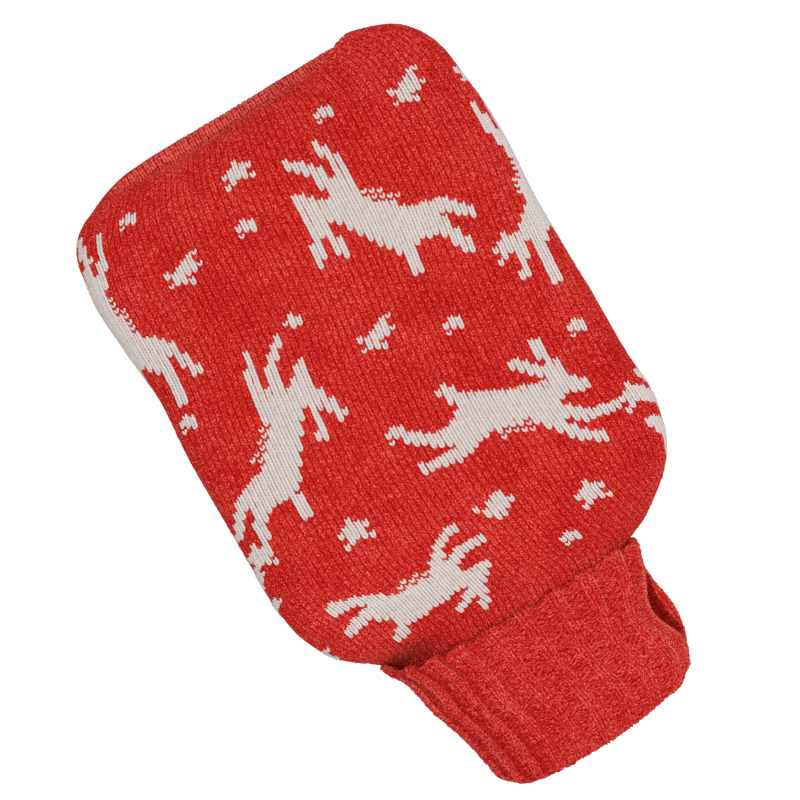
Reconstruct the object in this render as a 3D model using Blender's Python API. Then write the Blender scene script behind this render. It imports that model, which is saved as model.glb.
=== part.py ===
# Knitted cover for a hot water bottle, lying on its back on a flat surface.
#
# The bag is one tube of knitting: its base end (+Y) is closed by a seam that sinks in between the
# front and the back, and its shoulders (-Y) draw in to the neck. The cuff is a second tube, of
# ribbing, that is joined to the neck and turned over outward, so that its free edge lies back by
# the shoulders. Lengths in the tables are in millimetres.

import bpy
import numpy as np

MM = 0.001

# Bag
AROUND_BODY = 72           # points round each ring of the bag
WALL = 3.0                 # thickness of the knitting
CROWN = 2.8                # roundness of the upper half of a ring (2 is an ellipse)
BELLY = 4.5                # the lower half is flatter
PRESS = 1.2                # how far the underside is pressed flat by its own weight
SIDE_LEVEL = 0.44          # height of a ring's widest line, as a share of its height
NORMAL_STEP = 1.5          # a ring's direction is read this far to either side of a point

# Rings from the neck to where the base end starts to close.
BODY_COLUMNS = ("y", "left", "right", "floor", "top")
BODY_ROWS = (
    (-106.0, -60.5, 58.4, 5.6, 30.2),
    (-102.0, -61.8, 60.2, 5.2, 31.2),
    (-98.4, -64.6, 65.4, 3.0, 32.8),
    (-94.6, -70.4, 74.0, 1.2, 34.8),
    (-90.7, -75.4, 79.6, 0.5, 36.2),
    (-86.9, -81.4, 84.6, 0.0, 37.6),
    (-79.2, -89.6, 93.2, 0.0, 39.8),
    (-71.5, -94.6, 99.0, 0.0, 41.2),
    (-60.0, -99.4, 104.2, 0.0, 42.2),
    (-40.8, -102.2, 107.4, 0.0, 42.6),
    (-15.0, -102.4, 104.9, 0.0, 42.0),
    (16.0, -103.2, 104.3, 0.0, 41.6),
    (36.0, -104.2, 103.7, 0.0, 41.8),
    (66.0, -102.2, 103.6, 0.0, 41.4),
    (98.0, -105.2, 105.0, 0.0, 41.2),
    (122.0, -107.0, 103.8, 0.0, 40.6),
    (138.0, -105.4, 101.4, 0.0, 40.0),
)

# Base end, read across the bag: how far the front and the back reach, and the seam between them.
END_COLUMNS = ("x", "front", "back", "seam", "height")
END_ROWS = (
    (-86.0, 162.0, 162.0, 159.5, 21.0),
    (-68.0, 167.0, 170.8, 162.5, 23.5),
    (-40.0, 166.2, 173.6, 162.0, 24.5),
    (0.0, 168.6, 175.0, 164.0, 25.0),
    (33.0, 171.6, 176.2, 166.5, 25.0),
    (50.0, 176.6, 176.8, 169.0, 24.0),
    (62.0, 179.6, 175.5, 170.0, 23.0),
    (74.0, 177.6, 172.0, 168.5, 22.0),
    (82.0, 170.0, 167.0, 165.5, 20.0),
)
END_TURN = (15, 30, 45, 60, 75, 90)    # degrees of the outer turn at each ring
SEAM_TURN = (45, 90)                   # degrees of the turn inward to the seam
FRONT_LIP = 5.0                        # the front's furthest line lies this far above the seam
BACK_LIP = 12.0                        # and the back's this far below it
FRONT_SHARE = 1.2                      # how fast the back's reach gives way to the front's
SEAM_GAP = 0.8                         # the two edges at the bottom of the cleft
INNER_TURNS = 3                        # rings of the end that the hollow follows

# Cuff
RIBS = 20                  # two-by-two ribs round the cuff
POINTS_PER_RIB = 4         # two on the raised half, two in the groove
LAYER = 3.2                # thickness of one layer of the ribbing, in a groove
RIB = 1.0                  # how far a rib stands above its grooves
LAYER_GAP = 1.2            # between the cuff's two layers
INNER_SHARE = 0.92         # the inner layer is this much shorter than the outer one at the sides
ROOT_Y = -106.3            # where the inner layer meets the bag's neck
BUNCH = (0.84, 0.07, 0.32) # where round the cuff the ribs crowd, over what width, and how much
LIFT = (0.81, 0.055, 6.5)  # where the free edge curls up, over what width, and how far
LIFT_REACH = 0.24          # the curl dies out over this share of the cuff's length
SCALLOP = 1.2              # the free edge waves with the ribs
EDGE_BULGE = 0.012         # its middle stands out by this share of the cuff's length

# The cuff's right side is pushed in between its front and its back.
PUSH_Y = -135.5            # the middle of the dent
PUSH_LENGTH = 16.0
PUSH_FRONT = 7.0           # how far the front edge is set back there
PUSH_GROOVE = 7.0          # how much deeper the groove between front and back is
PUSH_RISE = (0.08, 0.34)   # the setting back grows between these shares of a ring's height
GROOVE_LEVEL = 0.42        # the groove's middle, as a share of a ring's height
GROOVE_WIDTH = 0.16
PUSH_SIDE = 3              # higher keeps the dent nearer the side

# Places of the cuff's rings, from the fold (0) to the end of each layer (1).
OUTER_FACE = (1.0, 0.97, 0.9, 0.78, 0.64, 0.5, 0.36, 0.22, 0.1, 0.0)
FOLD_TURN = (60, 30, 0, -30, -60)
INNER_LAYER = (0.0, 0.14, 0.29, 0.45, 0.63, 0.82, 1.0)
UNDER_FACE = (0.0, 0.13, 0.27, 0.42, 0.58, 0.76, 0.9, 1.0)

# The turned-over layer's outer face, from the fold to the free edge, read at the sides.
CUFF_COLUMNS = ("y", "left", "right", "top")
CUFF_ROWS = (
    (-165.0, -48.2, 62.5, 31.6),
    (-158.0, -49.8, 65.0, 32.2),
    (-150.0, -51.8, 66.2, 32.8),
    (-142.0, -54.2, 65.8, 33.2),
    (-134.0, -57.2, 65.0, 33.6),
    (-126.0, -60.2, 63.6, 34.2),
    (-117.6, -62.4, 62.9, 34.8),
    (-110.0, -64.6, 63.6, 35.4),
    (-100.0, -69.4, 66.4, 36.0),
)

# The free edge, read across the cuff (-1 is its left side, 1 its right).
FREE_COLUMNS = ("across", "y")
FREE_ROWS = (
    (-1.0, -98.6),
    (-0.93, -102.2),
    (-0.8, -105.0),
    (-0.5, -106.2),
    (0.0, -104.6),
    (0.5, -103.0),
    (1.0, -101.6),
)

# The fold's line, read across the cuff.
FOLD_COLUMNS = ("across", "y")
FOLD_ROWS = (
    (-1.0, -166.4),
    (-0.93, -171.6),
    (-0.75, -174.2),
    (-0.5, -175.0),
    (0.0, -174.6),
    (0.38, -172.2),
    (0.6, -170.4),
    (0.85, -168.0),
    (1.0, -162.6),
)


def column(rows, columns, name):
    """One named column of a table, as an array."""
    return np.array([row[columns.index(name)] for row in rows])


def read(rows, columns, name, at):
    """A column's value at a place given in the table's first column."""
    return np.interp(at, column(rows, columns, columns[0]), column(rows, columns, name))


def dent(x, z, left, right, floor, top):
    """How far each point of a cuff ring is set in at the right side, where the dent is deepest."""
    share = np.clip((z - floor) / (top - floor), 0.0, 1.0)
    side = np.clip((2.0 * x - left - right) / (right - left), 0.0, 1.0) ** PUSH_SIDE
    high = np.clip((share - PUSH_RISE[0]) / (PUSH_RISE[1] - PUSH_RISE[0]), 0.0, 1.0)
    high = high * high * (3.0 - 2.0 * high)
    groove = np.exp(-((share - GROOVE_LEVEL) / GROOVE_WIDTH) ** 2)
    return side * (PUSH_FRONT * high + PUSH_GROOVE * groove)


def ring(left, right, floor, top, fractions):
    """Points (x, z) and outward normals of one ring, at fractions of its length.

    Fraction 0 is the middle of the front, and they grow towards +X.
    """
    angle = np.linspace(0.0, 2.0 * np.pi, 721)
    across = np.sin(angle)
    up = np.cos(angle)
    level = floor + SIDE_LEVEL * (top - floor)
    power = np.where(up >= 0.0, 2.0 / CROWN, 2.0 / BELLY)
    x = 0.5 * (left + right) + 0.5 * (right - left) * np.sign(across) * np.abs(across) ** power
    rise = np.abs(up) ** power
    z = np.where(up >= 0.0, level + (top - level) * rise, level - (level - floor + PRESS) * rise)
    z = np.maximum(z, floor)
    length = np.concatenate(([0.0], np.cumsum(np.hypot(np.diff(x), np.diff(z)))))

    def at(distance):
        return np.column_stack([np.interp(distance % length[-1], length, side) for side in (x, z)])

    wanted = np.asarray(fractions) * length[-1]
    run = at(wanted + NORMAL_STEP) - at(wanted - NORMAL_STEP)
    run /= np.linalg.norm(run, axis=1, keepdims=True)
    return at(wanted), np.column_stack((-run[:, 1], run[:, 0]))


def body_rings():
    """The bag's outer face as rings of (x, y, z), from the neck to the seam."""
    fractions = np.arange(AROUND_BODY) / AROUND_BODY
    rings = []
    for y, left, right, floor, top in BODY_ROWS:
        points, _ = ring(left, right, floor, top, fractions)
        rings.append(np.column_stack((points[:, 0], np.full(AROUND_BODY, y), points[:, 1])))
    start = rings[-1]
    facing = np.cos(2.0 * np.pi * fractions)                       # 1 front, -1 back, 0 at the sides
    across = np.interp(fractions, (0.0, 0.25, 0.5, 0.75, 1.0), (0.0, 1.0, 0.0, -1.0, 0.0))
    first = END_ROWS[0][0]
    last = END_ROWS[-1][0]
    seam_x = 0.5 * (first + last) + 0.5 * (last - first) * across
    front = read(END_ROWS, END_COLUMNS, "front", seam_x)
    back = read(END_ROWS, END_COLUMNS, "back", seam_x)
    seam_y = read(END_ROWS, END_COLUMNS, "seam", seam_x)
    seam_z = read(END_ROWS, END_COLUMNS, "height", seam_x)
    reach = back + (front - back) * np.clip(0.5 + FRONT_SHARE * facing, 0.0, 1.0)
    lip_z = seam_z + np.where(facing > 0.0, FRONT_LIP, BACK_LIP) * facing
    for degrees in END_TURN:
        turn = np.radians(degrees)
        x = seam_x + (start[:, 0] - seam_x) * np.cos(turn)
        y = start[:, 1] + (reach - start[:, 1]) * np.sin(turn)
        z = lip_z + (start[:, 2] - lip_z) * np.cos(turn)
        rings.append(np.column_stack((x, y, z)))
    for degrees in SEAM_TURN:
        turn = np.radians(degrees)
        y = seam_y + (reach - seam_y) * np.cos(turn)
        z = lip_z + (seam_z + 0.5 * SEAM_GAP * np.sign(facing) - lip_z) * np.sin(turn)
        rings.append(np.column_stack((seam_x, y, z)))
    return rings


def inward(rings, depth):
    """The same rings moved in along the surface's normals."""
    grid = np.array(rings)
    along = np.gradient(grid, axis=0)
    round_it = np.roll(grid, -1, axis=1) - np.roll(grid, 1, axis=1)
    normal = np.cross(round_it, along)
    normal /= np.linalg.norm(normal, axis=2, keepdims=True)
    return list(grid - depth * normal)


def make_object(name, points, faces, material):
    """One closed mesh object, smooth but for its sharp edges."""
    mesh = bpy.data.meshes.new(name)
    mesh.from_pydata([tuple(MM * value for value in point) for point in points], [], faces)
    mesh.update()
    mesh.shade_smooth()
    mesh.set_sharp_from_angle(angle=np.radians(50))
    mesh.materials.append(material)
    item = bpy.data.objects.new(name, mesh)
    bpy.context.scene.collection.objects.link(item)
    return item


def yarn(name, colour):
    """Plain matt wool."""
    material = bpy.data.materials.new(name)
    material.use_nodes = True
    shader = material.node_tree.nodes["Principled BSDF"]
    shader.inputs["Base Color"].default_value = (*colour, 1.0)
    shader.inputs["Roughness"].default_value = 0.95
    shader.inputs["Metallic"].default_value = 0.0
    return material


def strip(first, second, count):
    """Faces between two rings whose points start at the given numbers."""
    faces = []
    for step in range(count):
        after = (step + 1) % count
        faces.append((first + step, first + after, second + after, second + step))
    return faces


def closing(first, count, flip):
    """Faces that close a ring: from one side to the other, its front and its back are joined."""
    numbers = [first + (count // 4 + step) % count for step in range(count)]
    half = count // 2
    faces = [(numbers[0], numbers[1], numbers[-1])]
    for step in range(1, half - 1):
        faces.append((numbers[step], numbers[step + 1], numbers[-step - 1], numbers[-step]))
    faces.append((numbers[half - 1], numbers[half], numbers[half + 1]))
    return [tuple(reversed(face)) for face in faces] if flip else faces


def build_body(material):
    """The bag: outer face, neck edge and the hollow inside, as one closed solid."""
    outer = body_rings()
    inner = inward(outer, WALL)[:len(BODY_ROWS) + INNER_TURNS]
    inner[0][:, 1] = outer[0][:, 1]
    rings = list(reversed(inner)) + outer
    points = np.concatenate(rings)
    faces = []
    for number in range(len(rings) - 1):
        first = number * AROUND_BODY
        faces += strip(first, first + AROUND_BODY, AROUND_BODY)
    faces += closing(0, AROUND_BODY, True)
    faces += closing((len(rings) - 1) * AROUND_BODY, AROUND_BODY, False)
    return make_object("body", points, faces, material)


def rib_fractions():
    """Where the cuff's points lie round a ring: the ribs crowd together at the upper left."""
    count = RIBS * POINTS_PER_RIB
    fine = np.linspace(0.0, 1.0, 2001)
    middle, width, amount = BUNCH
    spacing = 1.0 - amount * np.exp(-((fine - middle) / width) ** 2)
    reached = np.concatenate(([0.0], np.cumsum(1.0 / spacing[1:])))
    return np.interp(np.arange(count) / count, reached / reached[-1], fine)


def cuff_section():
    """The cuff's section along its length, as (layer, away from the fold, past it, outward, rib).

    It runs from the free edge down the outer face, round the fold, up the inside and back between
    the layers.
    """
    half_gap = 0.5 * LAYER_GAP
    face = half_gap + LAYER
    section = []
    for away in OUTER_FACE:
        section.append(("outer", away, 0.0, face, 1.0))
    for degrees in FOLD_TURN:
        turn = np.radians(degrees)
        section.append(("outer", 0.0, face * np.cos(turn), face * np.sin(turn), max(0.0, np.sin(turn))))
    for away in INNER_LAYER:
        section.append(("inner", away, 0.0, -face, 0.0))
    for away in reversed(INNER_LAYER):
        section.append(("inner", away, 0.0, -half_gap, 0.0))
    section.append(("outer", 0.0, half_gap, 0.0, 0.0))
    for away in UNDER_FACE:
        section.append(("outer", away, 0.0, half_gap, 0.0))
    section.append(("outer", 1.0 + EDGE_BULGE, 0.0, 0.5 * (half_gap + face), 0.0))
    return section


def cuff_ring(station, fractions, raised):
    """One ring of the cuff's surface at a station of its section."""
    layer, away, past, outward, rib = station
    face = 0.5 * LAYER_GAP + LAYER + RIB
    reach = 1.0 if layer == "outer" else INNER_SHARE
    side_y = CUFF_ROWS[0][0] + reach * min(away, 1.0) * (CUFF_ROWS[-1][0] - CUFF_ROWS[0][0])
    left = read(CUFF_ROWS, CUFF_COLUMNS, "left", side_y) + face
    right = read(CUFF_ROWS, CUFF_COLUMNS, "right", side_y) - face
    top = read(CUFF_ROWS, CUFF_COLUMNS, "top", side_y) - face
    points, normals = ring(left, right, face, top, fractions)
    out = outward + RIB * rib * raised
    if layer == "outer":
        middle, width, height = LIFT
        curl = np.clip(1.0 - (1.0 - away) / LIFT_REACH, 0.0, 1.0) ** 1.5
        out = out + height * curl * np.exp(-((fractions - middle) / width) ** 2)
    x = points[:, 0] + out * normals[:, 0]
    z = points[:, 1] + out * normals[:, 1]
    across = np.clip((2.0 * points[:, 0] - left - right) / (right - left), -1.0, 1.0)
    fold_y = read(FOLD_ROWS, FOLD_COLUMNS, "y", across)
    if layer == "outer":
        end_y = read(FREE_ROWS, FREE_COLUMNS, "y", across) + SCALLOP * (raised - 0.5)
    else:
        end_y = ROOT_Y
    y = fold_y + (end_y - fold_y) * away
    push = np.exp(-((y - PUSH_Y) / PUSH_LENGTH) ** 2)
    x -= push * dent(x, z, left, right, face, top)
    return np.column_stack((x, y - past, np.maximum(z, 0.0)))


def build_cuff(material):
    """The ribbed cuff: one closed section carried round the neck."""
    fractions = rib_fractions()
    count = len(fractions)
    raised = np.where(np.arange(count) % POINTS_PER_RIB < POINTS_PER_RIB // 2, 1.0, 0.0)
    section = cuff_section()
    rings = [cuff_ring(station, fractions, raised) for station in section]
    faces = []
    for number in range(len(rings)):
        following = (number + 1) % len(rings)
        faces += strip(following * count, number * count, count)
    return make_object("cuff", np.concatenate(rings), faces, material)


def stand_on_origin(items):
    """Move the meshes so that the middle of the cover's underside is the origin."""
    corners = np.array([vertex.co for item in items for vertex in item.data.vertices])
    low = corners.min(axis=0)
    high = corners.max(axis=0)
    for item in items:
        for vertex in item.data.vertices:
            vertex.co.x -= 0.5 * (low[0] + high[0])
            vertex.co.y -= 0.5 * (low[1] + high[1])
            vertex.co.z -= low[2]


def main():
    for item in list(bpy.data.objects):
        bpy.data.objects.remove(item, do_unlink=True)
    plain = yarn("plain_knit", (0.62, 0.035, 0.025))
    ribbed = yarn("ribbed_knit", (0.66, 0.045, 0.03))
    items = [build_body(plain), build_cuff(ribbed)]
    stand_on_origin(items)


main()
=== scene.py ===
import bpy
import numpy as np
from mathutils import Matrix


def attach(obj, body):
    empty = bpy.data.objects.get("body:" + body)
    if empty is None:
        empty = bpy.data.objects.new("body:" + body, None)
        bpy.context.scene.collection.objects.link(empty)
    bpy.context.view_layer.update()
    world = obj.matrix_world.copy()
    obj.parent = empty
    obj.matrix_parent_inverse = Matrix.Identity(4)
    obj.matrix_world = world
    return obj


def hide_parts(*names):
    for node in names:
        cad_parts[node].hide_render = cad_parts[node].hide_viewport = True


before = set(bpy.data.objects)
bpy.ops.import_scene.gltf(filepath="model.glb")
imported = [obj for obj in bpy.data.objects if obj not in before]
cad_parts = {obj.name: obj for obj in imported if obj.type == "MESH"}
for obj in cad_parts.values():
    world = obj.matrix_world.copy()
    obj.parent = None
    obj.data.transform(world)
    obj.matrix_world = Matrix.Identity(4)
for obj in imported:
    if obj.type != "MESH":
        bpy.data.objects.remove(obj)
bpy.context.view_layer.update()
scene = bpy.context.scene
mm = 0.001
settle = (-0.2, 0.1, 0.0)  # the tables' origin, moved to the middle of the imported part's underside
dice = np.random.default_rng(7)


def table(names, *rows):
    return {"names": names.split(), "rows": np.array(rows)}


# A column of a table, read smoothly and without overshoot at places in its first column.
def readTable(data, name, at):
    place = data["rows"][:, 0]
    value = data["rows"][:, data["names"].index(name)]
    step = np.diff(place)
    slope = np.diff(value) / step
    both = slope[:-1] * slope[1:]
    total = slope[:-1] + slope[1:]
    inner = np.where(both > 0, 2 * both / np.where(total == 0, 1, total), 0)
    tangent = np.concatenate(([slope[0]], inner, [slope[-1]]))
    at = np.clip(at, place[0], place[-1])
    k = np.clip(np.searchsorted(place, at) - 1, 0, len(step) - 1)
    t = (at - place[k]) / step[k]
    start = (1 + 2 * t) * (1 - t) ** 2 * value[k] + t * (1 - t) ** 2 * step[k] * tangent[k]
    end = t * t * (3 - 2 * t) * value[k + 1] - t * t * (1 - t) * step[k] * tangent[k + 1]
    return start + end


# From 0 up to the start to 1 from that length further on.
def rise(value, start, length):
    return np.clip((value - start) / length, 0, 1)


# 1 in the middle and near 0 from twice the width on both sides.
def hump(value, middle, width):
    return np.exp(-((value - middle) / width) ** 2)


def smooth(share):
    return share * share * (3 - 2 * share)


def sizeOf(vectors):
    return np.linalg.norm(vectors, axis=-1)


def unit(vectors):
    return vectors / np.maximum(sizeOf(vectors), 1e-9)[..., None]


# What is reached before the first step and after each.
def reachedAfter(steps):
    return np.concatenate(([0], np.cumsum(steps)))


# One ring of cloth: points (x, z) and outward normals at fractions of its length. Fraction 0 is
# the middle of the front and they grow towards +X.
section = {
    "crown": 2.8,  # how square the upper half is: 2 would be an ellipse
    "belly": 4.5,  # and the lower half
    "press": 1.2,  # the lower half is pressed flat by this much
    "sideLevel": 0.44,  # of the height, where it is widest
    "normalStep": 1.5,
}


def ringOf(left, right, floor, top, fractions):
    angle = np.linspace(0, 2 * np.pi, 721)
    across, up = np.sin(angle), np.cos(angle)
    level = floor + section["sideLevel"] * (top - floor)
    power = np.where(up >= 0, 2 / section["crown"], 2 / section["belly"])
    x = 0.5 * (left + right) + 0.5 * (right - left) * np.sign(across) * np.abs(across) ** power
    away = np.abs(up) ** power
    under = level - (level - floor + section["press"]) * away
    z = np.maximum(np.where(up >= 0, level + (top - level) * away, under), floor)
    length = reachedAfter(np.hypot(np.diff(x), np.diff(z)))

    def at(distance):
        distance = distance % length[-1]
        return np.stack([np.interp(distance, length, side) for side in (x, z)], axis=-1)

    wanted = np.asarray(fractions) * length[-1]
    run = unit(at(wanted + section["normalStep"]) - at(wanted - section["normalStep"]))
    return at(wanted), np.stack((-run[:, 1], run[:, 0]), axis=-1)


# Grids hold points as (row along the cloth, column round it, xyz).
def gridNormals(grid):
    roundIt = np.roll(grid, -1, axis=1) - np.roll(grid, 1, axis=1)
    return unit(np.cross(roundIt, np.gradient(grid, axis=0)))


def evenRows(grid, spacing):
    reached = reachedAfter(sizeOf(np.diff(grid, axis=0)).mean(axis=1))
    count = int(round(reached[-1] / spacing))
    place = np.interp(np.linspace(0, reached[-1], count + 1), reached, np.arange(len(reached)))
    low = np.clip(place.astype(int), 0, len(grid) - 2)
    share = (place - low)[:, None, None]
    return grid[low] * (1 - share) + grid[low + 1] * share


def pointOn(grid, row, fraction):
    rows, columns = grid.shape[:2]
    row = np.clip(row, 0, rows - 1.001)
    column = (fraction % 1) * columns
    r, c = row.astype(int), column.astype(int) % columns
    dr, dc = (row - r)[:, None], (column - np.floor(column))[:, None]
    after = (c + 1) % columns
    near, far = [grid[ring, c] * (1 - dc) + grid[ring, after] * dc for ring in (r, r + 1)]
    return near * (1 - dr) + far * dr


# The bag
bag = {
    "around": 272,  # grid columns round it
    "rowHeight": 1.55,
    "columnWidth": 3.38,
    "seamColumnWidth": 3.2,  # columns crowd a little at the base
    "seamCrowd": (120, 50),  # from where, and over what length
    "fullShare": 0.94,  # rings over this share of the widest girth have all the columns
    "wall": 3.0,
    "clothInset": 0.75,  # the cloth lies this far inside the outer face
    "clothDepth": 0.86,  # share of the length that has cloth inside too
    "frontLip": 5.0,  # the base end's front edge lies this far above the seam
    "backLip": 12.0,
    "frontShare": 1.2,
    "seamGap": 0.8,
    "uneven": 0.3,  # soft hollows and swellings
    "unevenFrom": (6, 12),  # from what height, and over what rise
    "lipRidge": 0.7,  # the front's edge stands out as a thin ridge, made pale by real light and a painted highlight
    "ridgeRows": 1.1,
    # Painted highlight along the front's edge.
    "lipHighlightTone": 1.6,
    "rimSheenTone": 2.2,  # painted sheen: the back's rim beyond it is paler, as fabric seen edge-on
    "seamRows": 3,
    "dip": (-57.0, -100.5, 14.0, 6.5, 11.0),  # under the cuff's curl: x, y, half-widths, depth
    "dipFrom": (8, 8),
    "flatSize": (0.455, 0.300),  # metres: round the bag, and from neck to seam
    "flatArea": 0.128,  # square metres, less at the shoulders
}
# How the bag's stitches lie, how their tone varies, and how much shade is painted on them.
bagStitch = {
    "rowSway": 0.05,  # spreads: of a row's place in rows, of a stitch's place in mm,
    "jitter": 0.07,
    "widths": 0.06,  # of a leg's width as a share,
    "tones": (0.10, 0.1),  # and of a stitch's tone and each leg's
    "turns": (0.02, 0.085),  # of how far a leg is turned, off-white and red
    "sink": 0.42,  # mm, the stitches' middles lie this far inside the surface
    "outerLight": (0.35, -0.06, 0.5),  # painted shade on a leg's outer side, from 0 dark to 1 unshaded: off-white, red, and how much darker in the rim; the next line is the inner side
    "innerLight": (0.15, 0.7, 1.2),
    "relief": (1.4, 0.8),  # how far off-white and red stitches stand out
    "flatter": (0.45, 0.6),  # how much less they do beyond the front's edge, and in the rim
}
bagRings = table(
    "y left right floor top",
    (-106, -60.5, 58.4, 5.6, 30.2),
    (-102, -61.8, 60.2, 5.2, 31.2),
    (-98.4, -64.6, 65.4, 3, 32.8),
    (-94.6, -70.4, 74, 1.2, 34.8),
    (-90.7, -75.4, 79.6, 0.5, 36.2),
    (-86.9, -81.4, 84.6, 0, 37.6),
    (-79.2, -89.6, 93.2, 0, 39.8),
    (-71.5, -94.6, 99, 0, 41.2),
    (-60, -99.4, 104.2, 0, 42.2),
    (-40.8, -102.2, 107.4, 0, 42.6),
    (-15, -102.4, 105.6, 0, 42),
    (16, -103, 105.2, 0, 41.6),
    (36, -103.4, 104.4, 0, 41.8),
    (66, -102.2, 103.6, 0, 41.4),
    (98, -105.2, 105, 0, 41.2),
    (122, -107, 103.8, 0, 40.6),
    (138, -105.4, 101.4, 0, 40),
)
bagEnd = table(
    "x front back seam height",
    (-86, 161.5, 162, 159.5, 21),
    (-68, 165.2, 171.6, 161.5, 23.5),
    (-40, 164.4, 174.6, 160.5, 24.5),
    (0, 167, 175.8, 162.5, 25),
    (33, 169.6, 177, 165, 25),
    (50, 174.8, 177.6, 168, 24),
    (62, 179, 176, 170, 23),
    (74, 177.6, 172, 168.5, 22),
    (82, 170, 167, 165.5, 20),
)
# How far the columns have drifted round the bag: the fabric is a little twisted.
bagTwist = table(
    "y drift",
    (-106, 10), (-90, 5), (-70, -1), (-45, -6), (-10, -7), (40, -3), (100, 3.5), (180, 10),
)


def bagGrid():
    fractions = np.arange(bag["around"]) / bag["around"]
    rings = []
    firstY, lastY = bagRings["rows"][[0, -1], 0]
    for y in np.arange(firstY, lastY + 0.1, 2.0):
        sides = [readTable(bagRings, name, y) for name in ("left", "right", "floor", "top")]
        points, _ = ringOf(*sides, fractions)
        rings.append(np.column_stack((points[:, 0], np.full(len(fractions), y), points[:, 1])))
    # From these round the base end's edge, then in to the seam.
    start = rings[-1]
    facing = np.cos(2 * np.pi * fractions)  # 1 at the front, -1 at the back
    across = np.interp(fractions, (0, 0.25, 0.5, 0.75, 1), (0, 1, 0, -1, 0))
    first, last = bagEnd["rows"][0, 0], bagEnd["rows"][-1, 0]
    seamX = 0.5 * (first + last) + 0.5 * (last - first) * across
    front, back, seamY, seamZ = [
        readTable(bagEnd, name, seamX) for name in ("front", "back", "seam", "height")
    ]
    reach = back + (front - back) * np.clip(0.5 + bag["frontShare"] * facing, 0, 1)
    lipZ = seamZ + np.where(facing > 0, bag["frontLip"], bag["backLip"]) * facing
    for turn in np.radians(np.arange(4, 91, 4.3)):
        x = seamX + (start[:, 0] - seamX) * np.cos(turn)
        y = start[:, 1] + (reach - start[:, 1]) * np.sin(turn)
        rings.append(np.column_stack((x, y, lipZ + (start[:, 2] - lipZ) * np.cos(turn))))
    for turn in np.radians(np.arange(10, 91, 10)):
        y = seamY + (reach - seamY) * np.cos(turn)
        closed = seamZ + 0.5 * bag["seamGap"] * np.sign(facing)
        rings.append(np.column_stack((seamX, y, lipZ + (closed - lipZ) * np.sin(turn))))
    return evenRows(np.array(rings), bag["rowHeight"])


# Slow waves over the cloth, mostly between -1 and 1.
def slowWaves(points):
    x, y, z = points[..., 0], points[..., 1], points[..., 2]
    wave = np.sin(0.041 * x + 0.9) * np.sin(0.036 * y + 0.4) + np.sin(0.063 * x - 0.041 * y + 2.1)
    return 0.6 * wave + 0.2 * np.sin(0.09 * z + 0.03 * y)


def newObject(name, data):
    made = bpy.data.objects.new(name, data)
    scene.collection.objects.link(made)
    return made


def fill(node, values):
    for label, value in values.items():
        node.inputs[label].default_value = value


# Meshes are made from arrays of points and of the faces' corners.
def meshPiece(name, points, triangles, quads, material, yarn, cells=None):
    mesh = bpy.data.meshes.new(name)
    mesh.vertices.add(len(points))
    mesh.vertices.foreach_set("co", ((points + settle) * mm).astype(np.float32).ravel())
    loops = np.concatenate((triangles.ravel(), quads.ravel()))
    sizes = np.concatenate((np.full(len(triangles), 3), np.full(len(quads), 4)))
    starts = reachedAfter(sizes)[:-1]
    mesh.loops.add(len(loops))
    mesh.loops.foreach_set("vertex_index", loops.astype(np.int32))
    mesh.polygons.add(len(sizes))
    mesh.polygons.foreach_set("loop_start", starts.astype(np.int32))
    mesh.polygons.foreach_set("loop_total", sizes.astype(np.int32))
    mesh.update(calc_edges=True)
    mesh.shade_smooth()
    layer = mesh.color_attributes.new(name="yarn", type="FLOAT_COLOR", domain="POINT")
    layer.data.foreach_set("color", yarn.astype(np.float32).ravel())
    if cells is not None:
        layer = mesh.uv_layers.new(name="OFBake")
        layer.data.foreach_set("uv", cells[loops].astype(np.float32).ravel())
    mesh.materials.append(material)
    return newObject(name, mesh)


# Faces between rings of so many points, and from last to first in a closed loop.
def ringQuads(rings, count, closedLoop):
    quads = []
    step = np.arange(count)
    for number in range(rings if closedLoop else rings - 1):
        near = number * count
        far = ((number + 1) % rings) * count
        quads.append(np.column_stack((near + step, near + (step + 1) % count,
                                      far + (step + 1) % count, far + step)))
    return np.concatenate(quads)


# Faces that close a ring flat, from one side to the other.
def flatEnd(first, count):
    half = count // 2
    order = first + (count // 4 + np.arange(count)) % count
    step = np.arange(1, half - 1)
    quads = order[np.column_stack((step, step + 1, count - step - 1, count - step))]
    triangles = order[np.array([(0, 1, count - 1), (half - 1, half, half + 1)])]
    return triangles, quads
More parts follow.
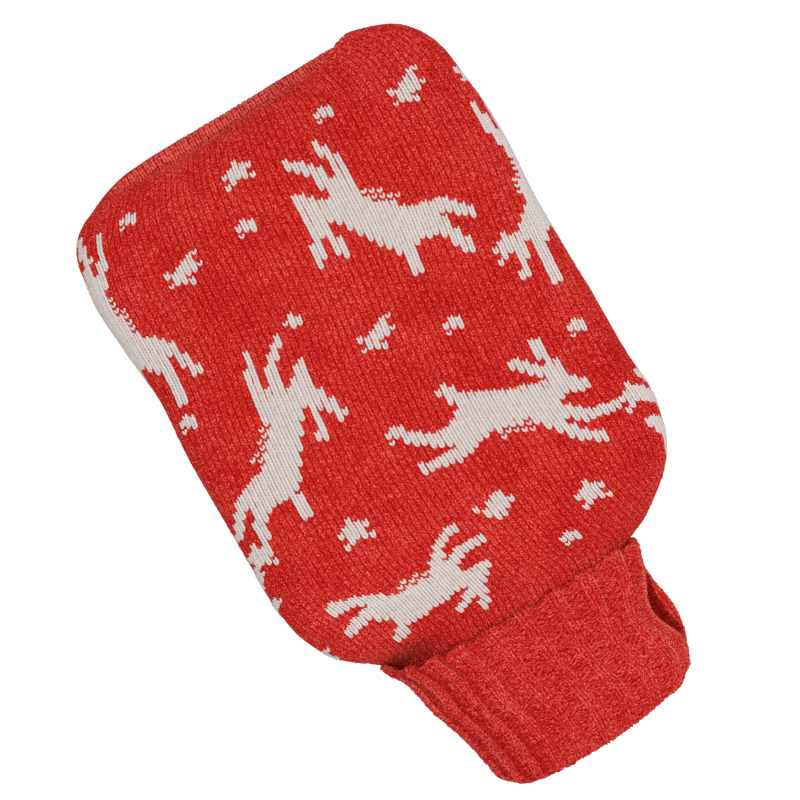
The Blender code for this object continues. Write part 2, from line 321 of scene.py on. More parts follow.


# A point's yarn colour holds whether it is off-white, its tone, and its painted shade, from 0 in the
# dark upwards.
def woolMaterial(name, look):
    material = bpy.data.materials.new(name)
    material.use_nodes = True
    nodes, links = material.node_tree.nodes, material.node_tree.links
    shader = nodes["Principled BSDF"]
    fill(shader, look["surface"])
    where = nodes.new("ShaderNodeTexCoord")

    def feed(socket, value):
        if isinstance(value, float):
            socket.default_value = value
        elif isinstance(value, tuple):
            socket.default_value = (*value, 1)
        else:
            links.new(value, socket)

    def noise(scale, detail, roughness=0.6):
        node = nodes.new("ShaderNodeTexNoise")
        fill(node, {"Scale": scale, "Detail": detail, "Roughness": roughness})
        links.new(where.outputs["Object"], node.inputs["Vector"])
        return node.outputs["Fac"]

    def ramp(value, *stops):
        node = nodes.new("ShaderNodeValToRGB")
        while len(node.color_ramp.elements) < len(stops):
            node.color_ramp.elements.new(0.5)
        for element, (place, colour) in zip(node.color_ramp.elements, stops):
            element.position = place
            element.color = (*colour, 1)
        links.new(value, node.inputs["Fac"])
        return node.outputs["Color"]

    def mix(first, second, factor, blend="MIX"):
        node = nodes.new("ShaderNodeMix")
        node.data_type = "RGBA"
        node.blend_type = blend
        for label, value in (("A", first), ("B", second)):
            feed([s for s in node.inputs if s.name == label and s.type == "RGBA"][0], value)
        feed(node.inputs["Factor"], factor)
        return [s for s in node.outputs if s.type == "RGBA"][0]

    def tinted(first, second):
        return mix(first, second, 1.0, "MULTIPLY")

    def reckon(operation, first, second):
        node = nodes.new("ShaderNodeMath")
        node.operation = operation
        feed(node.inputs[0], first)
        feed(node.inputs[1], second)
        return node.outputs[0]

    def add(first, second):
        return reckon("ADD", first, second)

    def times(first, second):
        return reckon("MULTIPLY", first, second)

    colours = nodes.new("ShaderNodeAttribute")
    colours.attribute_name = "yarn"
    parts = nodes.new("ShaderNodeSeparateColor")
    links.new(colours.outputs["Color"], parts.inputs["Color"])
    # The third channel is painted shade, high where there is none.
    motif, tone, height = parts.outputs

    fluff = noise(look["fluffScale"], 3.0)
    cloudy = noise(look["cloudScale"], 2.0)
    shade = add(times(fluff, look["fluffShare"]), times(tone, look["toneShare"]))
    shade = add(shade, times(cloudy, look["cloudShare"]))
    lit = (1.0, 1.0, 1.0)
    # Painted shade: red and off-white are darkened towards a level of 0.
    redShading = ramp(height, (0.0, look["redPaintedShade"]), (look["redTop"], lit))
    red = tinted(ramp(shade, *look["red"]), redShading)
    calmShade = add(shade, times(fluff, -look["whiteCalm"] * look["fluffShare"]))
    whiteShading = ramp(height, (0.0, look["whitePaintedShade"]), (look["whiteTop"], lit))
    white = tinted(ramp(calmShade, *look["white"]), whiteShading)
    # Painted shade, darker still below a level of 0.
    hollow = ramp(add(height, 1.0), (0.0, look["hollow"]), (1.0, lit))
    links.new(tinted(mix(red, white, motif), hollow), shader.inputs["Base Color"])

    bump = nodes.new("ShaderNodeBump")
    fill(bump, look["bump"])
    links.new(noise(look["fibreScale"], 4.0, 0.7), bump.inputs["Height"])
    links.new(bump.outputs["Normal"], shader.inputs["Normal"])
    return material


wool = {
    "surface": {
        "Roughness": 0.95,
        "Specular IOR Level": 0.05,
        "Sheen Weight": 0.07,
        "Sheen Roughness": 0.45,
        "Sheen Tint": (1.0, 0.60, 0.55, 1),
    },
    "fluffScale": 1300.0,  # the yarn's fine flecks
    "fluffShare": 0.94,
    "cloudScale": 38.0,  # broad paler and darker patches
    "cloudShare": 0.12,
    "toneShare": 0.07,
    "fibreScale": 2200.0,
    "bump": {"Strength": 0.6, "Distance": 0.0006},  # metres
    "red": (
        (0.45, (0.45, 0.002, 0.002)),
        (0.59, (0.68, 0.024, 0.0165)),
        (0.73, (0.97, 0.190, 0.148)),
    ),
    # Painted shade: what red is darkened to at a level of 0.
    "redPaintedShade": (0.62, 0.15, 0.12),
    "redTop": 0.8,  # the level from which no shade is painted
    "white": (
        (0.1, (0.72, 0.64, 0.61)),
        (0.5, (0.88, 0.795, 0.77)),
        (0.8, (0.95, 0.885, 0.87)),
    ),
    # Painted shade on off-white, and the level from which none is painted.
    "whitePaintedShade": (0.46, 0.42, 0.40),
    "whiteTop": 0.6,
    "whiteCalm": 0.5,  # how much weaker the flecks are
    # Painted shade that goes darker still below a level of 0.
    "hollow": (0.55, 0.4, 0.4),
}
plainWool = woolMaterial("plainWool", wool)
ribWool = woolMaterial("ribWool", dict(
    wool,
    fluffShare=1.25,
    bump={"Strength": 0.8, "Distance": 0.0006},
    red=(
        (0.56, (0.56, 0.001, 0.001)),
        (0.74, (0.80, 0.031, 0.020)),
        (0.91, (1.0, 0.235, 0.19)),
    ),
    # A darker painted shade on the cuff.
    redPaintedShade=(0.50, 0.14, 0.11),
))

# The pattern: leaping hares and stars in off-white. A hare is drawn with rounded limbs, each from
# one point and half-width to another, before its own scale.
hareLimbs = table(
    "x1 y1 r1 x2 y2 r2",
    (-20, 0, 11, 12, 3, 8),  # haunch to chest
    (12, 3, 7.6, 25, 10, 5.2),  # neck
    (25, 10, 5.6, 34, 8, 3.6),  # head and muzzle
    (23, 14, 2.8, 2, 22, 3.1),  # ears, laid back
    (25, 14, 2.7, 12, 31, 2.9),
    (14, -1, 4.8, 32, -8, 3.1),  # forelegs
    (32, -8, 3.1, 47, -5, 2.7),
    (9, -4, 4.4, 26, -17, 2.9),
    (26, -17, 2.9, 39, -20, 2.6),
    (-23, -3, 7.4, -38, -11, 4.3),  # hind legs
    (-38, -11, 3.9, -57, -8, 2.8),
    (-20, -6, 6.2, -33, -20, 3.5),
    (-33, -20, 3.3, -50, -24, 2.6),
    (-30, 9, 4, -36, 13, 3.4),  # tail
)
# Single stitches fringe a hare's belly: how far out from the haunch and chest, and from where.
fringe = {"out": 5, "from": -12}
# Places are round the bag from the middle of the front, and along it from the neck.
hares = table(
    "around along turn flip scale",
    (26, 214, 128, 1, 0.96),
    (-56, 140, 62, -1, 0.96),
    (52, 98, -22, 1, 0.96),
    (-36, 42, 8, -1, 0.84),
    (-112, 230, 100, 1, 0.94),
    (112, 196, 84, -1, 0.94),
    (196, 232, 30, 1, 0.96),
    (182, 130, -60, -1, 0.96),
    (-196, 150, 70, 1, 0.96),
    (-140, 70, 30, 1, 0.94),
    (-170, 262, -10, -1, 0.9),
    (136, 52, 150, 1, 0.9),
)
# A star is charted in columns and rows of stitches; the first line lies nearest the base.
bigStar = (
    "..#..",
    "..#..",
    ".###.",
    "#####",
    "#####",
    ".###.",
    ".###.",
    "##.##",
    "#...#",
)
leaningStar = (
    "....##",
    "...##.",
    "#.###.",
    "#####.",
    ".#####",
    ".####.",
    "###...",
    "..##..",
    "...#..",
)
smallStar = (
    ".#.",
    "###",
    "###",
    ".##",
    "#.#",
)
starCharts = [
    np.array([[mark == "#" for mark in line] for line in chart])
    for chart in (bigStar, leaningStar, smallStar)
]
stars = table(
    "around along chart",
    (-22, 262, 0), (72, 256, 1), (-66, 232, 1), (-30, 186, 2), (84, 168, 0), (8, 160, 1),
    (-6, 116, 2), (-92, 96, 0), (-46, 84, 0), (18, 62, 1), (36, 30, 2), (60, 46, 0),
    (-78, 56, 2), (44, 148, 2), (-96, 168, 2), (-28, 236, 2), (30, 268, 2), (96, 118, 2),
    (150, 218, 0), (158, 168, 1), (226, 190, 0), (-140, 196, 1), (-150, 120, 0), (214, 90, 1),
    (-184, 92, 0), (150, 96, 2), (-110, 34, 1), (-214, 226, 0), (128, 130, 2), (-200, 30, 0),
    (110, 252, 1), (190, 40, 1), (-122, 146, 2), (228, 258, 0), (104, 76, 0), (-84, 270, 2),
)


def inLimb(x, y, limb):
    x1, y1, r1, x2, y2, r2 = limb
    run = (x2 - x1) ** 2 + (y2 - y1) ** 2
    t = np.clip(((x - x1) * (x2 - x1) + (y - y1) * (y2 - y1)) / run, 0, 1)
    away = np.hypot(x - x1 - t * (x2 - x1), y - y1 - t * (y2 - y1))
    return away < r1 + t * (r2 - r1)


# 1 where a stitch is off-white, by row, column from the middle of the front, columns in the row
# and the widest girth.
def whiteAt(row, column, columns, widest):
    around = column * widest / columns
    along = row * bag["rowHeight"]
    white = np.zeros(len(row), bool)
    checks = (np.floor(row) + np.floor(column)) % 2 == 0

    def fromMiddle(x):
        return (around - x + widest / 2) % widest - widest / 2

    for x, y, turn, flip, scale in hares["rows"]:
        dx, dy = fromMiddle(x), along - y
        c, s = np.cos(np.radians(turn)), np.sin(np.radians(turn))
        localX = (dx * c + dy * s) / scale
        localY = (-dx * s + dy * c) / scale * flip
        for limb in hareLimbs["rows"]:
            white |= inLimb(localX, localY, limb)
        beside = inLimb(localX, localY + fringe["out"], hareLimbs["rows"][0])
        white |= beside & checks & (localX > fringe["from"])
    for x, y, chart in stars["rows"]:
        pattern = starCharts[int(chart)]
        high, wide = pattern.shape
        across = np.floor(fromMiddle(x) / bag["columnWidth"] + wide / 2).astype(int)
        down = np.floor(high / 2 - (along - y) / bag["rowHeight"]).astype(int)
        inside = (across >= 0) & (across < wide) & (down >= 0) & (down < high)
        white[inside] |= pattern[down[inside], across[inside]]
    return white.astype(float)


# Stitches: a plain stitch is two leaf-shaped legs that lean apart towards the base end, and a purl
# one a bow across the column. Their middle lines are in columns across, rows along and mm out.
stitch = {
    "leg": np.array((
        (0.05, -1.05, -0.10),
        (0.18, -0.45, 0.16),
        (0.29, 0.46, 0.06),
        (0.37, 1.15, -0.50),
    )),
    "halfWidth": 0.25,  # of the column's width
    "whiteHalfWidth": 0.22,
    "outerUnder": 0.66,  # from a leg's line down to its outer edge
    "innerUnder": 0.34,  # and to its inner edge
    "over": 0.50,  # and up to its top
    "purl": np.array((
        (-0.52, -0.06, -0.30),
        (-0.20, 0.10, 0.08),
        (0.20, 0.10, 0.08),
        (0.52, -0.06, -0.30),
    )),
    "purlHalfWidth": 0.44,  # of the row's height
    "purlUnder": 0.45,
    "purlOver": 0.55,
}
# Nothing lies nearer the floor than this.
clearance = {"yarn": 0.03, "cloth": 0.5}
legTriangles = np.array(((0, 2, 1), (0, 3, 2), (7, 4, 5), (7, 5, 6)))
legQuads = np.array(((1, 2, 5, 4), (2, 3, 6, 5)))


# Painted shade on each of a leg's points, from 0 in the dark at its ends to 1 unshaded on top; the
# edges take the given levels.
def paintedLegShade(right, left):
    nothing, one = np.zeros_like(right), np.ones_like(right)
    return np.stack((nothing, right, one, left, right, one, left, nothing), axis=-1)


# The same places, each turned a little about its normal.
def turned(across, along, amount):
    turn = dice.normal(0, amount, len(across))[:, None]
    width, height = sizeOf(across)[:, None], sizeOf(along)[:, None]
    c, s = np.cos(turn), np.sin(turn)
    return across * c + along * s * width / height, along * c - across * s * height / width


# One leg on each place: points are (leg, its eight points, xyz).
def layLegs(place, across, along, normal, line, halfWidth, rightUnder, leftUnder, over, relief):
    normal = normal * relief
    spine = place[:, None]
    for share, vector in zip(line.T, (across, along, normal)):
        spine = spine + share[:, None] * vector[:, None]
    side = unit(np.cross(spine[:, 3] - spine[:, 0], normal)) * halfWidth[:, None]
    points = [spine[:, 0]]
    for knot in (1, 2):
        points.append(spine[:, knot] + side - normal * rightUnder)
        points.append(spine[:, knot] + normal * over)
        points.append(spine[:, knot] - side - normal * leftUnder)
    points.append(spine[:, 3])
    return np.stack(points, axis=1)


# Each leg has a cell of its own in the map.
def legCells(count):
    wide = int(np.ceil(np.sqrt(count)))
    number = np.arange(count)
    corner = np.stack((number % wide, number // wide), axis=1)[:, None] / wide
    shape = np.array(((0.5, 0.05), (0.1, 0.3), (0.5, 0.35), (0.9, 0.3),
                      (0.1, 0.7), (0.5, 0.65), (0.9, 0.7), (0.5, 0.95)))
    return corner + shape[None] / wide


def yarnPiece(name, legs, motif, tone, height, material):
    count = len(legs)
    first = 8 * np.arange(count)[:, None, None]
    colour = np.ones((count, 8, 4))
    colour[..., 0] = motif[:, None]
    colour[..., 1] = tone[:, None]
    # The third channel is painted shade on each point.
    colour[..., 2] = height
    legs[..., 2] = np.maximum(legs[..., 2], clearance["yarn"])
    triangles = (legTriangles[None] + first).reshape(-1, 3)
    quads = (legQuads[None] + first).reshape(-1, 4)
    cells = legCells(count).reshape(-1, 2)
    points, colour = legs.reshape(-1, 3), colour.reshape(-1, 4)
    return meshPiece(name, points, triangles, quads, material, colour, cells)


# Cloth behind the stitches has one tone and a painted shade near the dark.
def clothPiece(name, points, triangles, quads, white, material):
    points = points.copy()
    points[:, 2] = np.maximum(points[:, 2], clearance["cloth"])
    colour = np.ones((len(points), 4))
    colour[:, 0] = white
    # Middle tone, and painted shade near the dark.
    colour[:, 1:3] = (0.4, 0.12)
    return meshPiece(name, points, triangles, quads, material, colour)


# Where stitches lie on a grid, and the vectors across, along and out of each.
def stitchPlaces(grid, rows, fractions, drift, width):
    place = pointOn(grid, rows, fractions)
    step = 0.25 / grid.shape[1]
    across = pointOn(grid, rows, fractions + step) - pointOn(grid, rows, fractions - step)
    across *= (width / (2 * step))[:, None]
    ahead = pointOn(grid, rows + 0.5, fractions + 0.5 * drift)
    along = ahead - pointOn(grid, rows - 0.5, fractions - 0.5 * drift)
    return place, across, along, unit(np.cross(across, along))


# The bag's face as it lies, and the row of its front's edge at the base end.
def bagFace():
    grid = bagGrid()
    normals = gridNormals(grid)
    lift = rise(grid[..., 2], *bag["unevenFrom"]) * bag["uneven"] * slowWaves(grid)
    dipX, dipY, wide, long, deep = bag["dip"]
    dip = deep * hump(grid[..., 0], dipX, wide) * hump(grid[..., 1], dipY, long)
    grid = grid + normals * lift[..., None]
    grid[..., 2] -= dip * rise(grid[..., 2], *bag["dipFrom"])
    front = np.cos(2 * np.pi * np.arange(bag["around"]) / bag["around"])
    lipRow = grid[:, front > 0.3, 1].mean(axis=1).argmax()
    ridge = hump(np.arange(len(grid)), lipRow, bag["ridgeRows"])[:, None] * rise(front, 0, 1 / 3)
    return grid + normals * (bag["lipRidge"] * ridge)[..., None], lipRow


# The bag's stitches row by row: row, column and columns for the pattern, place round the ring, how
# far the column moves round it to the next row, and width as a share of the ring.
def bagRows(girth, meanY, spread):
    most = mostColumns(girth)
    lastRow = len(girth) - 1
    found = []
    for row in range(lastRow):
        nextRow = min(row + 1, lastRow)
        neckward = meanY[row] < 0
        width = bag["columnWidth"] + rise(meanY[row], *bag["seamCrowd"]) * (
            bag["seamColumnWidth"] - bag["columnWidth"])
        count = min(most, 4 * int(round(girth[row] / width / 4)))
        if count > bag["fullShare"] * most:
            count = most
        if neckward:
            count = 4 * int(round(most / spread[row] / 4))
        whole = most if neckward else count
        drift = readTable(bagTwist, "drift", meanY[row]) / girth[row]
        further = readTable(bagTwist, "drift", meanY[nextRow]) / girth[row]
        half = np.arange(-count // 4, count // 4) + 0.5
        straight = half * spread[row] / whole
        toSide = np.abs(4 * half / count) ** 6
        middle = straight + (half / count - straight) * toSide + drift
        turning = half * (spread[nextRow] - spread[row]) / whole + further - drift
        for side in (0, 1):
            same = np.ones(len(half))
            found.append((
                same * (row + 0.5), half + side * whole / 2, same * whole,
                middle + side * 0.5, turning, same / count))
    return [np.concatenate(values) for values in zip(*found)]


def mostColumns(girth):
    return 4 * int(round(girth.max() / bag["columnWidth"] / 4))


def knitBag():
    grid, lipRow = bagFace()
    rowCount = len(grid) - 1
    girth = sizeOf(np.roll(grid, -1, axis=1) - grid).sum(axis=1)
    meanY = grid[..., 1].mean(axis=1)
    # Towards the neck the columns run straight on and end at the shoulders: their spacing, as a
    # multiple of an even one.
    spread = np.maximum(1, bag["fullShare"] * girth.max() / girth)
    spread = np.where(meanY < 0, spread, 1)
    rows, columns, wholes, fractions, drifts, widths = bagRows(girth, meanY, spread)
    rowSway = dice.normal(0, bagStitch["rowSway"], rowCount + 1)[rows.astype(int)]
    place, across, along, normal = stitchPlaces(grid, rows + rowSway, fractions, drifts, widths)
    place = place + dice.normal(0, bagStitch["jitter"], place.shape)
    white = whiteAt(rows, columns, wholes, girth.max())
    toneSpread, legToneSpread = bagStitch["tones"]
    tone = np.clip(0.5 + dice.normal(0, toneSpread, len(rows)), 0, 1)
    halfWidth = np.where(white > 0, stitch["whiteHalfWidth"], stitch["halfWidth"])
    halfWidth = halfWidth * sizeOf(across) * (1 + dice.normal(0, bagStitch["widths"], len(rows)))
    centre = place - bagStitch["sink"] * normal

    facing = np.cos(2 * np.pi * fractions)
    beyondLip = rise(rows, lipRow + 0.5, 2) * (place[:, 1] > 0)
    seam = rise(rows, rowCount - bag["seamRows"], bag["seamRows"])
    rim = beyondLip * (1 - seam) * (facing < 0)
    # Painted shade on the legs' outer and inner edges, darker in the rim.
    outer, inner = [
        np.where(white > 0, pale, red) - less * rim
        for pale, red, less in (bagStitch["outerLight"], bagStitch["innerLight"])
    ]
    relief = np.where(white > 0, *bagStitch["relief"])
    for where, less in zip((beyondLip, rim), bagStitch["flatter"]):
        relief = relief * (1 - less * where)
    # Painted shade under the front's edge at the base end, and along the seam on the back.
    shade = 1 - beyondLip * np.where(facing > 0, 1, seam)
    # Painted highlight along the front's edge at the base end.
    tone = tone + bag["lipHighlightTone"] * hump(rows, lipRow, 1.0) * rise(facing, 0, 1 / 3)
    # Painted sheen on the back's rim, seen edge-on.
    tone = tone + bag["rimSheenTone"] * rim

    # Painted shade on each leg's points, more under the front's edge and in the seam.
    legs, paintedShades = [], []
    for side in (1, -1):
        line = stitch["leg"] * (side, 1, 1)
        unders = (stitch["outerUnder"], stitch["innerUnder"])[::side]
        both = turned(across, along, np.where(white > 0, *bagStitch["turns"]))
        paintedShades.append(paintedLegShade(*(outer, inner)[::side]) * shade[:, None])
        legs.append(layLegs(
            centre, *both, normal, line, halfWidth, *unders, stitch["over"], relief[:, None]))
    legs = np.stack(legs, axis=1)
    paintedShades = np.stack(paintedShades, axis=1)
    pieces = []
    for number, part in enumerate(np.array_split(np.arange(len(rows)), 4)):
        legTone = np.repeat(tone[part], 2) + dice.normal(0, legToneSpread, 2 * len(part))
        pieces.append(yarnPiece(
            f"bagKnit{number + 1}", legs[part].reshape(-1, 8, 3), np.repeat(white[part], 2),
            np.clip(legTone, 0, 4), paintedShades[part].reshape(-1, 8), plainWool))
    print("bag stitches", len(rows), "rows", rowCount, "girth", round(girth.max(), 1))
    return grid, girth, spread, pieces


# Thin cloth behind the bag's stitches: an outer skin from neck to seam and an inner one that stops
# short of it, both with a flat end. It is off-white only where all the stitches round a point are.
def bagCloth(grid, girth, spread):
    inward = gridNormals(grid)
    thin = (grid - inward * bag["clothInset"])[::2, ::2]
    keep = int(len(thin) * bag["clothDepth"])
    inner = (grid - inward * bag["wall"])[::2, ::2][:keep]
    rings = np.concatenate((inner[::-1], thin))
    count = thin.shape[1]
    quads = ringQuads(len(rings), count, False)
    startTriangles, startQuads = flatEnd(0, count)
    endTriangles, endQuads = flatEnd((len(rings) - 1) * count, count)
    quads = np.concatenate((quads, startQuads[:, ::-1], endQuads))
    triangles = np.concatenate((startTriangles[:, ::-1], endTriangles))

    row = 2 * np.concatenate((np.arange(keep)[::-1], np.arange(len(thin))))
    row = np.repeat(row[:, None], count, axis=1)
    ring = np.minimum(row, len(girth) - 1)
    drift = readTable(bagTwist, "drift", rings[..., 1]) / girth[ring]
    place = (np.arange(count) / count - drift) % 1
    half = (place + 0.25) % 0.5 - 0.25  # from the front's or back's middle
    most = mostColumns(girth)
    column = (half / spread[ring] + place - half) * most
    white = 1.0
    for moreRow, moreColumn in ((0, 0), (1, 0), (-1, 0), (0, 0.5), (0, -0.5)):
        near = (row.ravel() + moreRow, column.ravel() + moreColumn)
        white = white * whiteAt(*near, most, girth.max())
    return clothPiece("bagCloth", rings.reshape(-1, 3), triangles, quads, white, plainWool)


*bagForm, bagPieces = knitBag()
cloth = bagCloth(*bagForm)
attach(cloth, "root")
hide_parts("body")
for piece in bagPieces:
    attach(piece, "root")
print("bag done")

# The cuff, turned over at its fold. Places round it are fractions of a ring, as for the bag.
cuff = {
    "ribs": 19,
    "stitchesPerRib": 4,  # two plain ones raised, two purl ones in the groove
    "rowHeight": 1.52,
    "layer": 3.2,  # one layer of ribbing in a groove
    "layerGap": 1.2,
    "sink": 1.0,  # the grooves lie this far inside the tables' outline
    "innerShare": 0.92,  # how far along the table the inner layer reaches
    "rootY": -106.3,
    "knitDepth": 42.0,  # of the mouth's inside that has stitches
    "neckLength": 65,
    "clothInset": 0.7,
    "clothRibs": 0.9,  # how high the cloth's ribs are beside the knitting's
    "lipCloth": (0.3, 1.4, 0.35),  # less inset by the pocket's lower edge: where, how far, share
    "flatSize": (0.290, 0.155),  # metres
    "ribHeight": 0.5,
    "deepRibs": (0.83, 0.10, 1.2),  # where the ribs stand higher, over what width, by how much
    "bunch": (0.84, 0.07, 0.32),  # where they crowd, over what width, and how much
    "curl": (0.81, 0.055, 6.5),  # where the free edge curls up, over what width, and how far
    "curlReach": 0.24,
    "scallop": (1.2, 0.07),  # the ribs reach past the grooves at the free edge, over what share
    "edgeRise": 0.05,  # share of the length in which they rise from the free edge
    "pushY": -135.5,  # the right side is pushed in between front and back
    "pushLength": 16.0,
    "pushFront": 11.6,
    "pushLip": 3.0,  # while the edge of the back stands out a little
    "pushGroove": 5.0,
    "pushRise": (0.07, 0.27),
    "grooveLevel": 0.34,
    "grooveWidth": 0.12,
    "pushSide": 2.6,
    "pushKnots": ((0.56, 16.5), (0.11, 21.0)),  # shares of the height that keep their stitch
}
# How the cuff's stitches lie, how their tone varies, and where shade and highlights are painted on
# them.
ribStitch = {
    "rowSway": 0.06,  # spreads: of a row's place in rows and of a stitch's in its row,
    "sway": 0.05,
    "slide": 0.0004,  # of its place round the ring, and in mm,
    "jitter": 0.14,
    "purlJitter": 0.16,
    "widths": (0.10, 0.12),  # of a plain and a purl leg's width as a share,
    "tones": (0.25, 0.15),  # of a stitch's tone and each leg's,
    "turns": (0.05, 0.24, 0.22),  # and of how far an outer, an inner and a purl leg is turned
    "sink": 0.45,
    "lean": 0.92,
    "over": 0.56,
    "relief": 1.2,
    # Painted shade on the legs' edges, from 0 dark to 1 unshaded.
    "light": 0.35,
    "ribHighlight": (1.4, 0.66),  # each rib has a narrower leg along both its sides, with a painted highlight
    "phases": 6.28,
    "groovePaintedShade": (0.83, 0.08, 0.7),  # painted shade in the grooves, darkest at the upper left
    "pocketHeight": 15,  # the pocket's front edge lies above this and its back edge below
    "pocketPaintedShade": (0.4, 0.7),  # painted shade up to one share of its width, none from another
    "pocketOpen": (2.2, 3.0),  # the width where the painted shade starts, and how much more it needs to be full
    "pocketCalm": (0.85, 2, 3),  # how much less uneven the stitches by it are, from what width
    "pocketRib": (17, 23),  # stitches there have no painted highlight on the ribs
    "edgeHighlights": ((-0.2, 0.7, 1.0), (-4.4, 0.7, 1.2)),  # painted highlights along its front edge: place, width, strength
}
cuffRings = table(
    "y left right top",
    (-165, -48.2, 61.6, 31.6),
    (-158, -49.8, 65.2, 32.2),
    (-150, -51.8, 66.8, 32.8),
    (-142, -54.4, 66.4, 33.2),
    (-134, -57.6, 65.6, 33.6),
    (-126, -60.8, 64.9, 34.2),
    (-117.6, -62.6, 65, 34.8),
    (-110, -64.8, 65.4, 35.4),
    (-100, -70.4, 67.4, 36),
)
freeEdge = table(
    "across y",
    (-1, -95.6), (-0.95, -98.8), (-0.88, -102), (-0.75, -103.6),
    (-0.5, -104.8), (0, -104.6), (0.5, -103), (1, -101.6),
)
foldLine = table(
    "across y",
    (-1, -166.4), (-0.93, -171.6), (-0.75, -174.8), (-0.5, -175.8), (0, -175.4),
    (0.38, -173.2), (0.6, -171.2), (0.85, -169), (1, -163.6),
)


# Stitch numbers as fractions of a ring: the ribs crowd at the upper left.
def ribPlace(number):
    fine = np.linspace(0, 1, 2001)
    middle, width, amount = cuff["bunch"]
    spacing = 1 - amount * hump(fine, middle, width)
    reached = reachedAfter(1 / spacing[1:])
    stitches = cuff["ribs"] * cuff["stitchesPerRib"]
    return np.interp(number / stitches, reached / reached[-1], fine)


# How far each point of a ring is set in at the pushed right side.
def sidePush(x, y, z, left, right, floor, top):
    amount = hump(y, cuff["pushY"], cuff["pushLength"])
    share = rise(z, floor, top - floor)
    side = np.clip((2 * x - left - right) / (right - left), 0, 1) ** cuff["pushSide"]
    first, last = cuff["pushRise"]
    high = cuff["pushFront"] * smooth(rise(share, first, last - first))
    groove = cuff["pushGroove"] * hump(share, cuff["grooveLevel"], cuff["grooveWidth"])
    return amount * side * (high + groove - cuff["pushLip"])


# One ring of the cuff on its outer or inner layer: at a share of the way from the fold to that
# layer's end, then so far past the fold, out from between the layers and beyond the free edge.
def cuffRing(layer, away, past, out, beyond, fractions):
    face = 0.5 * cuff["layerGap"] + cuff["layer"] + cuff["sink"]
    first, last = cuffRings["rows"][[0, -1], 0]
    share = 1.0 if layer == "outer" else cuff["innerShare"]
    sideY = first + share * min(away, 1.0) * (last - first)
    left = readTable(cuffRings, "left", sideY) + face
    right = readTable(cuffRings, "right", sideY) - face
    top = readTable(cuffRings, "top", sideY) - face
    points, normals = ringOf(left, right, face, top, fractions)
    out = out + np.zeros(len(fractions))
    if layer == "outer":
        middle, width, height = cuff["curl"]
        curl = np.clip(1 - (1 - away) / cuff["curlReach"], 0, 1) ** 1.5
        out = out + height * curl * hump(fractions, middle, width)
    x = points[:, 0] + out * normals[:, 0]
    z = points[:, 1] + out * normals[:, 1]
    across = np.clip((2 * points[:, 0] - left - right) / (right - left), -1, 1)
    foldY = readTable(foldLine, "y", across)
    endY = readTable(freeEdge, "y", across) if layer == "outer" else cuff["rootY"]
    y = foldY + (endY - foldY) * away
    x = x - sidePush(x, y, z, left, right, face, top)
    return np.column_stack((x, y - past + beyond, z))


# The ribs' height at stitch numbers: 1 on the two plain stitches of each rib.
def ribHeight(number):
    turn = 2 * np.pi * (number - 0.5) / cuff["stitchesPerRib"]
    return smooth(np.clip(0.5 + 0.62 * np.cos(turn), 0, 1))


# The knitted face of the cuff, from under the free edge over the outside, round the fold and into
# the mouth.
def cuffGrid(ribs, perStitch, toEnd):
    count = cuff["ribs"] * cuff["stitchesPerRib"] * perStitch
    number = np.arange(count) / perStitch
    wanted = ribPlace(number)
    where, width, more = cuff["deepRibs"]
    deep = cuff["ribHeight"] + more * hump(wanted, where, width)
    raised = ribs * ribHeight(number) * deep
    gap = 0.5 * cuff["layerGap"]
    thick = cuff["layer"]
    face = gap + thick
    fine = np.linspace(0, 1, 641)
    half = len(fine) // 2
    rings = []

    # Stitches stay evenly spread where the side is pushed in, and the same ones on the pocket's
    # two edges.
    def lay(layer, away, past, out, extra, beyond):
        plain = cuffRing(layer, away, past, out, beyond, fine)
        reached = reachedAfter(sizeOf(np.diff(plain, axis=0)))
        drop = plain[0, 2] - plain[:half + 1, 2]
        (upper, first), (lower, second) = cuff["pushKnots"]
        edges = np.searchsorted(drop, (1 - np.array((upper, lower))) * drop[-1])
        knots = reached[[0, *edges, half, -1]]
        even = np.interp(reached, knots, (0, ribPlace(first), ribPlace(second), 0.5, 1))
        places = np.interp(wanted, even, fine)
        ring = cuffRing(layer, away, past, out + extra, beyond, places)
        if layer == "outer":
            scallop, reach = cuff["scallop"]
            nearEdge = max(0.0, 1 - (1 - away) / reach)
            ring[:, 1] += scallop * (ribHeight(number) - 0.4) * nearEdge
        rings.append(ring)

    for turn in np.radians(np.arange(-70, 71, 20)):
        out = gap + 0.5 * thick * (1 + np.sin(turn))
        lay("outer", 1.0, 0, out, 0, 0.5 * thick * np.cos(turn))
    for away in np.linspace(0.985, 0.0, 60):
        lay("outer", away, 0, face, raised * rise(1 - away, 0, cuff["edgeRise"]), 0)
    for turn in np.radians(np.arange(80, -81, -10)):
        ribsHere = raised * max(0.0, np.sin(turn))
        lay("outer", 0, face * np.cos(turn), face * np.sin(turn), ribsHere, 0)
    depth = 1.0 if toEnd else cuff["knitDepth"] / cuff["neckLength"]
    for away in np.linspace(0.0, depth, 40):
        lay("inner", away, 0, -face, 0, 0)
    return np.array(rings)


